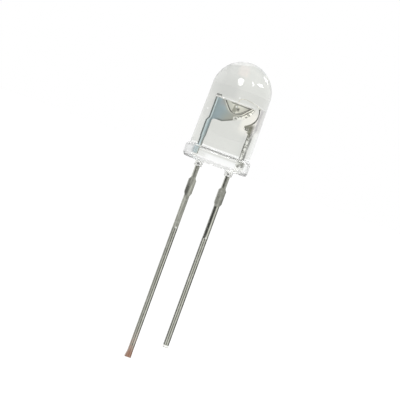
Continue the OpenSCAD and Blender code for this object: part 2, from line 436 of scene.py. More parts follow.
@dataclass(frozen=True)
class ClearEpoxy:
    """Water-clear cast epoxy, with painted light and painted shade where reflections and refraction make it
    look lighter or darker in places. Sizes in millimetres.
    """

    tint: Colour = (0.73, 0.74, 0.705)
    # clear, warm, cream and cool are painted light; dusky, lilac and line are painted shade; pink is a pink
    # tinge.
    clear: Colour = (0.97, 0.98, 0.97)
    dusky: Colour = (0.55, 0.56, 0.545)
    lilac: Colour = (0.52, 0.51, 0.51)
    warm: Colour = (0.95, 0.93, 0.86)
    cream: Colour = (0.95, 0.93, 0.84)
    pink: Colour = (0.83, 0.76, 0.72)
    cool: Colour = (0.85, 0.86, 0.87)
    line: Colour = (0.03, 0.03, 0.03)
    bend: float = 1.53
    roughness: float = 0.015
    frosted: float = 0.6
    cloud_depth: float = 0.96
    # The crown is a painted highlight: the dome's upper left washed out to white.
    crown_lean: float = 0.266
    crown: Span = (8.3, 8.42)
    streak_fall: float = 0.198
    streak_z: Span = (5.8, 5.84)
    streak_x: Span = (0.9, 2.0)
    rim_x: Span = (1.95, 2.3)
    rim_z: Span = (1.2, 1.0)
    rim_frost: float = 0.55
    seat_z: Span = (0.36, 0.24)
    front_y: Span = (0.0, -0.1)

    def patches(self) -> tuple[Patch, ...]:
        """Lists the painted light and painted shade that show on front and back alike.

        Returns:
            The patches, from the lowest layer up.
        """
        return (
            # Painted shade on the dome's upper left and down the barrel's left edge.
            Patch(self.dusky, (-2.5, -0.9), (5.6, 9.0), 0.7, 0.6, 0.8),
            Patch(self.dusky, (-2.5, -1.9), (1.3, 5.0), 0.2, 0.6, 0.3),
            # Painted light on the barrel's right edge low down, a darker painted reflection on its right,
            # painted light on the flange's lower part, near the post's head and at both flange ends, a white
            # painted underside and a painted highlight line along the flange's top.
            Patch(self.clear, (2.2, 3.0), (0.4, 3.3), 0.4, 0.5),
            Patch(self.lilac, (1.95, 2.6), (3.7, 5.3), 0.4, 0.3, 0.85),
            Patch(self.clear, (-1.0, 2.2), (0.0, 0.62), 0.5, 0.2),
            Patch(self.warm, (0.8, 1.4), (3.6, 4.5), 0.5, 0.9, 0.9),
            Patch(self.clear, (2.1, 3.0), (0.0, 1.1), 0.3, 0.1),
            Patch(self.cool, (-3.0, -2.2), (0.0, 1.1), 0.2, 0.1),
            Patch(WHITE, (-3.0, 3.0), (-0.6, 0.34), 0.1, 0.1),
            Patch(self.clear, (-3.0, 3.0), (1.13, 1.26), 0.1, 0.04),
        )

    def front_patches(self) -> tuple[Patch, ...]:
        """Lists the painted light, highlights and shade on the front alone.

        Returns:
            The patches, from the lowest layer up.
        """
        return (
            # A pink tinge on the dome's upper left, then painted light over the cup and to its right.
            Patch(self.pink, (-0.75, -0.38), (7.5, 8.0), 0.4, 0.4, 0.9),
            Patch(self.cream, (-0.9, 1.3), (4.55, 5.1), 0.4, 0.4, 0.75),
            Patch(self.cream, (0.7, 1.3), (3.7, 4.6), 0.4, 0.5, 0.9),
            # Painted highlights along the cup's rim, over the wire's loop, on the cup, as a speck on the
            # barrel's left and low on the flange's left; then a painted shade line just under the flange's
            # top.
            Patch(WHITE, (-1.88, 1.2), (5.2, 5.29), 0.06, 0.03),
            Patch(WHITE, (-0.31, -0.25), (5.59, 5.66), 0.06, 0.06),
            Patch(WHITE, (-0.32, -0.22), (4.85, 4.95), 0.06, 0.06),
            Patch(WHITE, (-2.24, -2.18), (4.04, 4.12), 0.05, 0.06, 0.8),
            Patch(WHITE, (-2.72, -2.5), (0.33, 0.4), 0.06, 0.04),
            Patch(WHITE, (-2.4, -1.9), (0.28, 0.42), 0.06, 0.06),
            Patch(self.line, (-1.75, 1.7), (1.05, 1.13), 0.06, 0.02, 0.68),
        )

    def frost(self, wires: Wires, x: NodeSocket, z: NodeSocket) -> NodeSocket:
        """Makes the rim and the seat rougher, as the mould and the cut leave them.

        Args:
            wires: The material's wires.
            x: The point's X socket.
            z: The point's Z socket.

        Returns:
            The roughness's socket.
        """
        out = wires.math("ABSOLUTE", x)
        rim = wires.all_of(wires.ramp(z, *self.rim_z), wires.ramp(out, *self.rim_x))
        rim = wires.math("MULTIPLY", rim, self.rim_frost)
        rough = wires.math("MAXIMUM", rim, wires.ramp(z, *self.seat_z))
        return wires.ramp_line(rough, 0.0, 1.0, self.roughness, self.frosted)

    def material(self) -> Material:
        """Builds the material.

        Returns:
            The material.
        """
        material, wires, shader = new_material("clear_epoxy")
        at, x, y, z = wires.place()
        cloud = wires.noise(at, 0.5, 2.0)
        low = tuple(c * self.cloud_depth for c in self.tint)
        colour = wires.mix(cloud, low, self.tint)
        for patch in self.patches():
            colour = patch.lay(wires, colour, x, z)
        front = wires.ramp(y, *self.front_y)
        for patch in self.front_patches():
            colour = patch.lay(wires, colour, x, z, front)
        # Painted highlight: the dome's upper left washed out to white.
        lean = wires.math("SUBTRACT", z, wires.math("MULTIPLY", x, self.crown_lean))
        colour = wires.layer(colour, wires.ramp(lean, *self.crown), WHITE)
        fall = wires.math("ADD", z, wires.math("MULTIPLY", x, self.streak_fall))
        streak = wires.band(fall, *self.streak_z, 0.04)
        streak = wires.all_of(front, streak, wires.band(x, *self.streak_x, 0.15))
        colour = wires.layer(colour, streak, WHITE, 0.7)
        wires.feed(shader.inputs["Base Color"], colour)
        wires.feed(shader.inputs["Roughness"], self.frost(wires, x, z))
        wires.feed(shader.inputs["IOR"], self.bend)
        wires.feed(shader.inputs["Transmission Weight"], 1.0)
        return material


@dataclass(frozen=True)
class Cup:
    """The shape of the reflector cup, for the marks that follow it. Sizes in millimetres."""

    x: float = 0.05
    top_z: float = 5.28
    low_z: float = 4.56
    low_r: float = 0.42
    top_r: float = 0.84
    round_h: float = 0.26

    def inset(self, wires: Wires, x: NodeSocket, y: NodeSocket, z: NodeSocket) -> NodeSocket:
        """Measures how far a point lies inside the cup's outer wall.

        Args:
            wires: The material's wires.
            x: The point's X socket.
            y: The point's Y socket.
            z: The point's Z socket.

        Returns:
            The socket of the depth in millimetres, below zero outside the cup.
        """
        ball = (self.low_r**2 + self.round_h**2) / (2 * self.round_h)
        ball_z = self.low_z - self.round_h + ball
        slope = (self.top_r - self.low_r) / (self.top_z - self.low_z)
        drop = wires.math("SUBTRACT", ball_z, wires.math("MINIMUM", z, self.low_z))
        rest = wires.math("SUBTRACT", ball * ball, wires.math("MULTIPLY", drop, drop))
        round_part = wires.math("SQRT", wires.math("MAXIMUM", rest, 0.0))
        rise = wires.math("MAXIMUM", wires.math("SUBTRACT", z, self.low_z), 0.0)
        wall = wires.math("ADD", round_part, wires.math("MULTIPLY", rise, slope))
        return wires.math("SUBTRACT", wall, wires.distance(x, y, (self.x, 0.0)))


@dataclass(frozen=True)
class Place:
    """The sockets that say where a frame's point lies, in millimetres, and if it is on a side face."""

    at: NodeSocket
    x: NodeSocket
    y: NodeSocket
    z: NodeSocket
    side: NodeSocket


@dataclass(frozen=True)
class TinnedSteel:
    """Tin-plated steel sheet: what both frames share, the dip line and the long lead's stains, and painted
    light and shade across the leads, at the drops and at the foot, with a painted highlight on the short
    lead's cut end.

    Sizes are in millimetres. A mask rises from a span's first value to its second, or fills it.
    """

    side: Side
    tip_z: float
    neck: Colour = (0.46, 0.465, 0.42)
    white: Colour = (1.0, 1.0, 0.97)
    pale: Colour = (0.86, 0.87, 0.8)
    dark: Colour = (0.12, 0.125, 0.115)
    brown: Colour = (0.5, 0.36, 0.3)
    rust: Colour = (0.33, 0.15, 0.09)
    # The tones paint light and shade across each strip's width, in place of reflections on its rounded face.
    lead: Tones = (0.25, 0.5, 0.0, 0.9, 0.16)
    shank: Tones = (0.38, 0.48, 0.34, 0.36, 0.38)
    stub_low: Tones = (0.14, 0.14, 0.36, 0.64, 0.45)
    stub: Tones = (0.27, 0.38, 0.3, 0.42, 0.55)
    neck_tones: Tones = (0.6, 0.12, 0.3, 0.32, 0.5)
    olive: float = 0.88
    first_tone: float = 0.08
    tone_step: float = 0.185
    roughness: float = 0.3
    lead_x: float = 1.27
    half_lead: float = 0.215
    dip_z: float = -5.62
    stub_z: Span = (-2.95, -1.45)
    stub_low_z: Span = (-2.7, -2.25)
    neck_z: Span = (-1.38, 0.2)
    # The drop, white and foot spans place painted light, and the spot span a painted dark spot, where the
    # drops and the flange meet the leads.
    drop_z: Span = (-0.46, -0.4)
    white_z: Span = (-0.36, 0.0)
    spot_z: Span = (-0.32, -0.2)
    seat_z: Span = (-0.05, 0.05)
    foot_z: Span = (0.5, 0.42)
    # The span below places a painted highlight on the short lead's cut end.
    cut_glint_from_tip: Span = (0.05, 0.16)
    stain_from_tip: Span = (3.0, 0.8)
    rust_from_tip: Span = (1.6, 0.4)
    burr_from_tip: Span = (0.7, 0.3)
    bump: float = 0.12
    turned: float = 0.85

    def tones(self, wires: Wires, across: NodeSocket, tones: Tones) -> NodeSocket:
        """Paints light and shade across a strip's width, in place of reflections on its rounded face.

        Args:
            wires: The material's wires.
            across: The socket of the place across, from -1 to 1.
            tones: How light it is at each fifth of the width.

        Returns:
            The colour's socket.
        """
        node = wires.add("ValToRGB")
        ramp = node.color_ramp
        while len(ramp.elements) < len(tones):
            ramp.elements.new(0.5)
        for i, tone in enumerate(tones):
            ramp.elements[i].position = self.first_tone + self.tone_step * i
            ramp.elements[i].color = (tone, tone * 1.01, tone * self.olive, 1.0)
        wires.feed(node.inputs[0], wires.ramp_line(across, -1.0, 1.0, 0.0, 1.0))
        return node.outputs[0]

    def tip(self, wires: Wires, place: Place, colour: NodeSocket, grain: Node) -> NodeSocket:
        """Colours the lead's end: a painted highlight on the short lead's cut end, rusty stains on the long
        one.

        Args:
            wires: The material's wires.
            place: Where the point lies.
            colour: The colour so far.
            grain: The sheet's grain.

        Returns:
            The colour's socket.
        """
        end = wires.math("SUBTRACT", place.z, self.tip_z)
        if self.side is Side.SHORT:
            # Painted highlight on the cut end.
            return wires.layer(colour, wires.band(end, *self.cut_glint_from_tip, 0.03), self.white)
        streaks, mottling = grain.outputs["Streaks"], grain.outputs["Mottling"]
        stain = wires.all_of(wires.ramp(end, *self.stain_from_tip), wires.ramp(mottling, 0.3, 0.6))
        colour = wires.layer(colour, stain, self.brown, 0.5)
        rust = wires.all_of(wires.ramp(end, *self.rust_from_tip), wires.ramp(streaks, 0.42, 0.58))
        colour = wires.layer(colour, rust, self.rust, 0.5)
        return wires.layer(colour, wires.ramp(end, *self.burr_from_tip), self.rust, 0.4)

    def below(self, wires: Wires, place: Place) -> tuple[NodeSocket, NodeSocket]:
        """Colours the lead below the flange: painted light and shade across it and on its side faces, its
        grain, stains and dip line, and painted light with a painted dark spot inside the drop.

        Args:
            wires: The material's wires.
            place: Where the point lies.

        Returns:
            The sockets of the colour and of the surface's height.
        """
        grain = wires.use("sheet_grain", {"Position": place.at})
        streaks, mottling = grain.outputs["Streaks"], grain.outputs["Mottling"]
        centre = self.side.value * self.lead_x
        strip = {"Position": place.at, "Centre": centre, "Half Width": self.half_lead}
        profile = wires.use("strip_profile", strip)
        across = profile.outputs["Across"]
        colour = self.tones(wires, across, self.lead)
        # Painted light and shade across the width, zone by zone.
        for reach, soft, tones in (
            ((self.dip_z, self.stub_z[0]), 0.05, self.shank),
            (self.stub_z, 0.05, self.stub),
            (self.stub_low_z, 0.4, self.stub_low),
            (self.neck_z, 0.05, self.neck_tones),
        ):
            mask = wires.band(place.z, *reach, soft)
            colour = wires.layer(colour, mask, self.tones(wires, across, tones))
        # Painted light on the side faces.
        colour = wires.layer(colour, place.side, self.pale, 0.45)
        colour = wires.layer(colour, wires.ramp(streaks, 0.4, 0.6), self.dark, 0.22)
        colour = wires.layer(colour, wires.ramp(mottling, 0.5, 0.62), self.pale, 0.12)
        colour = self.tip(wires, place, colour, grain)
        dip = wires.band(place.z, self.dip_z - 0.05, self.dip_z + 0.05, 0.03)
        colour = wires.layer(colour, wires.all_of(dip, wires.band(across, 0.0, 0.4, 0.25)), self.white, 0.7)
        # Painted light on the lead inside the drop, and a painted dark spot in it.
        colour = wires.layer(colour, wires.ramp(place.z, *self.drop_z), self.white)
        spot = wires.all_of(wires.band(place.z, *self.spot_z, 0.06), wires.band(across, -0.45, 0.1, 0.3))
        colour = wires.layer(colour, spot, self.dark, 0.9)
        height = wires.math("ADD", profile.outputs["Crown"], wires.math("MULTIPLY", streaks, 0.25))
        return colour, height

    def above(self, wires: Wires, place: Place) -> tuple[NodeSocket, NodeSocket]:
        """Colours the frame inside the epoxy.

        Args:
            wires: The material's wires.
            place: Where the point lies.

        Returns:
            The sockets of the colour and of the mask of matt places.
        """
        raise NotImplementedError

    def material(self) -> Material:
        """Builds the material.

        Returns:
            The material.
        """
        material, wires, shader = new_material("tinned_steel_" + self.side.name.lower())
        at, x, y, z = wires.place()
        turn = wires.add("SeparateXYZ")
        wires.feed(turn.inputs[0], wires.add("TexCoord").outputs["Normal"])
        side = wires.math("GREATER_THAN", wires.math("ABSOLUTE", turn.outputs[0]), self.turned)
        place = Place(at, x, y, z, side)
        below, height = self.below(wires, place)
        inside = wires.ramp(z, *self.seat_z)
        colour, matt = self.above(wires, place)
        # Painted light: the foot inside the flange's underside is white and matt.
        foot = wires.ramp(z, *self.foot_z)
        colour = wires.layer(colour, foot, self.white)
        matt = wires.all_of(inside, wires.math("MAXIMUM", matt, foot))
        matt = wires.math("MAXIMUM", matt, wires.band(z, *self.white_z, 0.04))
        wires.feed(shader.inputs["Base Color"], wires.mix(inside, below, colour))
        wires.feed(shader.inputs["Metallic"], wires.ramp_line(matt, 0.0, 1.0, 1.0, 0.0))
        wires.feed(shader.inputs["Roughness"], self.roughness)
        bump = wires.add("Bump")
        wires.feed(bump.inputs["Strength"], 1.0)
        wires.feed(bump.inputs["Distance"], self.bump * MM)
        outside = wires.ramp(z, *reversed(self.seat_z))
        wires.feed(bump.inputs["Height"], wires.math("MULTIPLY", height, outside))
        wires.feed(shader.inputs["Normal"], bump.outputs[0])
        return material


@dataclass(frozen=True)
class AnvilSteel(TinnedSteel):
    """The anvil's finish inside the epoxy: a slate-grey flag painted as a bluish reflection, a bright cup of
    painted light, painted highlight and shade lines, and a flecked sweep of painted light.
    """

    # Slate is a painted bluish reflection; cyan is painted light; cup_front is painted light on the cup's
    # wall; shade is painted shade.
    slate: Colour = (0.4, 0.495, 0.545)
    grey: Colour = (0.47, 0.475, 0.43)
    lilac: Colour = (0.5, 0.5, 0.52)
    cyan: Colour = (0.72, 0.85, 0.89)
    shade: Colour = (0.42, 0.42, 0.36)
    cup_front: Colour = (0.93, 0.93, 0.86)
    cup: Cup = Cup()
    first_tone: float = 0.12
    # The lead's tones paint light and shade across its width.
    lead: Tones = (0.2, 0.52, 0.0, 0.8, 0.02)
    thick: float = 0.225
    under_z: float = 3.48
    under_h: Span = (0.2, 0.03)
    under_from: Span = (-1.1, -0.7)
    under_to: Span = (0.15, 0.0)
    rise_x: Span = (-0.49, 0.35)
    rise_z: float = 4.02
    warm_lean: float = 0.35
    warm: Span = (-2.3, -1.4)
    fresh: float = 1.08
    leg_x: float = -1.21
    inner_line: Span = (0.03, 0.2)
    outer_line: Span = (-0.2, -0.06)
    head_line: Span = (0.02, 0.09)
    outer_x: Span = (-0.9, -1.0)
    side_line: Span = (0.01, 0.17)
    sweep: Point = (-0.41, 5.19)
    sweep_r: float = 1.39
    fleck_depth: Span = (0.27, 0.22)
    rim_h: float = 0.1
    tab_z: Span = (5.34, 5.44)

    def leg(self, wires: Wires, place: Place, colour: NodeSocket) -> NodeSocket:
        """Adds painted shade and highlight lines along the leg and along the head's outer edge, and painted
        light on the outer side faces.

        Args:
            wires: The material's wires.
            place: Where the point lies.
            colour: The colour so far.

        Returns:
            The colour's socket.
        """
        off = wires.math("SUBTRACT", place.x, self.leg_x)
        low = wires.ramp(place.z, self.under_z, self.under_z - 0.15)
        inner = wires.all_of(low, wires.band(off, *self.inner_line, 0.04))
        colour = wires.layer(colour, inner, self.dark, 0.35)
        outer = wires.all_of(low, wires.band(off, *self.outer_line, 0.03))
        colour = wires.layer(colour, outer, self.cyan, 0.8)
        colour = wires.layer(colour, wires.band(off, *self.head_line, 0.03), self.dark, 0.15)
        # Painted light on the outer side faces, with a painted shade line along each.
        edge = wires.all_of(place.side, wires.ramp(place.x, *self.outer_x))
        colour = wires.layer(colour, edge, self.cyan)
        line = wires.all_of(edge, wires.band(place.y, *self.side_line, 0.03))
        return wires.layer(colour, line, self.dark, 0.95)

    def edges(self, wires: Wires, place: Place, colour: NodeSocket) -> NodeSocket:
        """Adds a painted shade line along the head's lower edge and a band of painted light with dark flecks
        along its sweep.

        Args:
            wires: The material's wires.
            place: Where the point lies.
            colour: The colour so far.

        Returns:
            The colour's socket.
        """
        head = wires.ramp(place.z, self.under_z - 0.1, self.under_z)
        rise = wires.ramp_line(place.x, *self.rise_x, self.under_z, self.rise_z)
        line = wires.ramp(wires.math("SUBTRACT", place.z, rise), *self.under_h)
        ends = wires.all_of(wires.ramp(place.x, *self.under_to), wires.ramp(place.x, *self.under_from))
        # Painted shade line along the head's lower edge.
        colour = wires.layer(colour, wires.all_of(head, line, ends), self.dark, 0.6)
        # Painted light with dark flecks along the sweep.
        in_from = wires.math("SUBTRACT", self.sweep_r, wires.distance(place.x, place.z, self.sweep))
        flecks = wires.noise(place.at, 7.0, 2.0, 0.7)
        flecked_light = wires.layer(self.white, wires.ramp(flecks, 0.5, 0.55), self.dark, 0.85)
        band = wires.all_of(head, wires.ramp(place.x, 0.0, 0.06), wires.ramp(in_from, *self.fleck_depth))
        return wires.layer(colour, band, flecked_light)

    def outline(self, wires: Wires, place: Place, colour: NodeSocket, deep: NodeSocket) -> NodeSocket:
        """Adds painted shade and painted highlight lines round the cup on the head's flat faces.

        Args:
            wires: The material's wires.
            place: Where the point lies.
            colour: The colour so far.
            deep: The socket of the distance from the sheet's middle.

        Returns:
            The colour's socket.
        """
        inset = self.cup.inset(wires, place.x, place.y, place.z)
        face = wires.ramp(deep, self.thick + 0.02, self.thick + 0.005)
        # A soft painted shade, a painted highlight line and a dark painted shade line at the cup's edge; then
        # a further painted shade line on its right.
        for reach, soft, paint, share in (
            ((-0.18, -0.02), 0.05, self.grey, 0.5),
            ((-0.09, -0.05), 0.02, self.white, 0.6),
            ((-0.035, 0.02), 0.01, self.dark, 0.95),
        ):
            colour = wires.layer(colour, wires.all_of(face, wires.band(inset, *reach, soft)), paint, share)
        outer = wires.all_of(wires.band(inset, -0.16, -0.13, 0.015), wires.ramp(place.x, 0.3, 0.5))
        return wires.layer(colour, wires.all_of(face, outer), self.dark, 0.8)

    def cup_wall(self, wires: Wires, place: Place, deep: NodeSocket) -> NodeSocket:
        """Colours the cup's wall, where it stands out of the sheet: painted light, with painted shade, a
        painted highlight and a painted shadow.

        Args:
            wires: The material's wires.
            place: Where the point lies.
            deep: The socket of the distance from the sheet's middle.

        Returns:
            The colour's socket.
        """
        wall = self.cup_front
        # Painted light on the wall, then painted shade either side of the crease, a dark painted reflection,
        # a painted highlight, a painted shade line down the crease and a painted shadow under the rim.
        for patch in (
            Patch(self.shade, (-0.16, -0.04), (4.56, 4.96), 0.07, 0.2, 1.0),
            Patch(self.shade, (0.04, 0.14), (4.66, 4.84), 0.08, 0.12, 0.8),
            Patch(self.dark, (0.06, 0.12), (4.72, 4.82), 0.05, 0.05, 0.9),
            Patch(self.white, (-0.1, -0.01), (4.88, 4.98), 0.03, 0.03),
            Patch(self.dark, (-0.01, 0.0), (4.2, 5.0), 0.015, 0.1, 0.7),
            Patch(self.dark, (-0.35, 0.7), (5.1, 5.14), 0.1, 0.03, 0.75),
        ):
            wall = patch.lay(wires, wall, place.x, place.z)
        # Painted shade lines across the wall's right and where the wall meets the sheet.
        fold_shade = wires.all_of(wires.band(deep, 0.33, 0.35, 0.02), wires.ramp(place.x, 0.0, 0.15))
        wall = wires.layer(wall, fold_shade, self.dark, 0.9)
        return wires.layer(wall, wires.ramp(deep, self.thick + 0.05, self.thick + 0.04), self.dark, 0.9)

    def cup_marks(self, wires: Wires, place: Place, colour: NodeSocket) -> tuple[NodeSocket, NodeSocket]:
        """Adds the painted outline round the cup on the head, its wall painted pale and matt as painted
        light, and a painted highlight on the rolled rim.

        Args:
            wires: The material's wires.
            place: Where the point lies.
            colour: The colour so far.

        Returns:
            The sockets of the colour and of the mask of matt places.
        """
        deep = wires.math("ABSOLUTE", place.y)
        bulge = wires.ramp(deep, self.thick + 0.015, self.thick + 0.025)
        colour = self.outline(wires, place, colour, deep)
        colour = wires.layer(colour, bulge, self.cup_wall(wires, place, deep))
        # Painted highlight: the rolled rim's top is white and matt.
        low = self.cup.top_z - self.rim_h
        rim = wires.ramp(place.z, low - 0.01, low + 0.01)
        colour = wires.layer(colour, rim, self.white)
        tab = wires.all_of(wires.band(place.z, *self.tab_z, 0.03), wires.ramp(place.x, *self.outer_x))
        colour = wires.layer(colour, tab, self.dark, 0.8)
        return colour, wires.math("MAXIMUM", rim, wires.math("MULTIPLY", bulge, 0.8))

    def above(self, wires: Wires, place: Place) -> tuple[NodeSocket, NodeSocket]:
        """Colours the anvil inside the epoxy.

        Args:
            wires: The material's wires.
            place: Where the point lies.

        Returns:
            The sockets of the colour and of the mask of matt places.
        """
        cloud = wires.noise(place.at, 1.6, 2.0)
        light = tuple(c * self.fresh for c in self.slate)
        colour = wires.mix(wires.ramp(cloud, 0.3, 0.7), self.slate, light)
        warm = wires.math("SUBTRACT", place.x, wires.math("MULTIPLY", place.z, self.warm_lean))
        colour = wires.layer(colour, wires.ramp(warm, *self.warm), self.grey)
        corner = Patch(self.lilac, (-0.85, -0.5), (4.9, 5.3), 0.2, 0.4, 0.6)
        colour = corner.lay(wires, colour, place.x, place.z)
        colour = self.leg(wires, place, colour)
        colour = self.edges(wires, place, colour)
        return self.cup_marks(wires, place, colour)


@dataclass(frozen=True)
class PostSteel(TinnedSteel):
    """The post's finish inside the epoxy: mottled and pale, with painted shade along its edges and below its
    head, painted light towards its right and beyond its sweep, and a painted shade line along the sweep.
    """

    # brown_dark is painted shade; mauve and lilac are painted light.
    brown_dark: Colour = (0.2, 0.2, 0.17)
    mauve: Colour = (0.52, 0.51, 0.51)
    lilac: Colour = (0.95, 0.94, 0.95)
    # These tones paint light and shade across the lead's width.
    lead: Tones = (0.0, 0.72, 0.02, 0.75, 0.08)
    shank: Tones = (0.12, 0.02, 0.12, 0.85, 0.16)
    stub_low: Tones = (0.26, 0.27, 0.38, 0.4, 0.28)
    stub: Tones = (0.31, 0.37, 0.34, 0.34, 0.38)
    neck_tones: Tones = (0.45, 0.02, 0.2, 0.38, 0.45)
    post_x: float = 1.215
    half_post: float = 0.115
    rings: tuple[Span, ...] = ((0.86, 0.96), (0.6, 0.7))
    shank_z: Span = (0.95, 1.1)
    mauve_x: Span = (1.2, 1.3)
    lilac_x: Span = (1.3, 1.38)
    head_z: Span = (2.8, 3.1)
    upper_z: Span = (3.8, 4.2)
    sweep: Point = (0.0, 4.84)
    sweep_r: float = 1.4
    spur_x: Span = (1.08, 0.95)
    spur_z: Span = (2.8, 3.6)

    def above(self, wires: Wires, place: Place) -> tuple[NodeSocket, NodeSocket]:
        """Colours the post inside the epoxy.

        Args:
            wires: The material's wires.
            place: Where the point lies.

        Returns:
            The sockets of the colour and of the mask of matt places.
        """
        flecks = wires.noise(place.at, 6.0, 3.0, 0.6)
        colour = wires.layer(self.white, wires.ramp(flecks, 0.46, 0.56), self.brown_dark, 0.75)
        strip = {"Position": place.at, "Centre": self.post_x, "Half Width": self.half_post}
        profile = wires.use("strip_profile", strip)
        shank = wires.ramp(place.z, *self.shank_z)
        # Painted shade along the post's edges.
        colour = wires.layer(colour, wires.all_of(shank, profile.outputs["Edges"]), self.dark, 0.8)
        # Painted shade below the head, with painted light towards its right side.
        dusk = wires.layer(self.brown_dark, wires.ramp(flecks, 0.4, 0.6), self.neck, 0.3)
        dusk = wires.layer(dusk, wires.ramp(place.x, *self.mauve_x), self.mauve, 0.8)
        dusk = wires.layer(dusk, wires.ramp(place.x, *self.lilac_x), self.lilac, 0.8)
        colour = wires.mix(wires.ramp(place.z, *self.head_z), colour, dusk)
        # Painted light beyond the sweep's edge and a painted shade line just inside it.
        out = wires.math("SUBTRACT", wires.distance(place.x, place.z, self.sweep), self.sweep_r)
        upper = wires.ramp(place.z, *self.upper_z)
        colour = wires.layer(colour, wires.all_of(upper, wires.ramp(out, 0.0, 0.03)), self.lilac)
        colour = wires.layer(colour, wires.all_of(upper, wires.ramp(out, 0.0, -0.03)), self.dark, 0.9)
        for ring in self.rings:
            colour = wires.layer(colour, wires.band(place.z, *ring, 0.05), self.dark, 0.4)
        spur = wires.all_of(wires.band(place.z, *self.spur_z, 0.1), wires.ramp(place.x, *self.spur_x))
        specks = wires.ramp(wires.noise(place.at, 9.0, 1.0, 0.5), 0.47, 0.53)
        colour = wires.layer(colour, spur, wires.mix(specks, self.dark, self.white))
        return colour, wires.all_of(spur, specks)


@dataclass(frozen=True)
class PlainFinish:
    """A finish of one colour with a little mottling."""

    name: str
    colour: Colour
    roughness: float
    metallic: float = 0.0
    depth: float = 0.1
    scale: float = 14.0

    def material(self) -> Material:
        """Builds the material.

        Returns:
            The material.
        """
        material, wires, shader = new_material(self.name)
        cloud = wires.noise(wires.place()[0], self.scale, 3.0, 0.6)
        low = tuple(c * (1 - self.depth) for c in self.colour)
        wires.feed(shader.inputs["Base Color"], wires.mix(cloud, low, self.colour))
        wires.feed(shader.inputs["Metallic"], self.metallic)
        wires.feed(shader.inputs["Roughness"], self.roughness)
        return material


def dress(piece: Object, material: Material) -> None:
    """Gives a piece one material.

    Args:
        piece: The object.
        material: The material that it gets.
    """
    piece.data.materials.clear()
    piece.data.materials.append(material)


# ---------------------------------------------------------------- the epoxy body


def arc(x: float, z: float, r: float, start: float, end: float, steps: int) -> list[Point]:
    """Works out the points of an arc.

    Args:
        x: The centre's X.
        z: The centre's Z.
        r: The radius.
        start: The first point's angle in degrees.
        end: The last point's angle in degrees.
        steps: How many steps there are between them.

    Returns:
        The points, with both ends.
    """
    angles = [math.radians(start + (end - start) * i / steps) for i in range(steps + 1)]
    return [(x + r * math.cos(a), z + r * math.sin(a)) for a in angles]


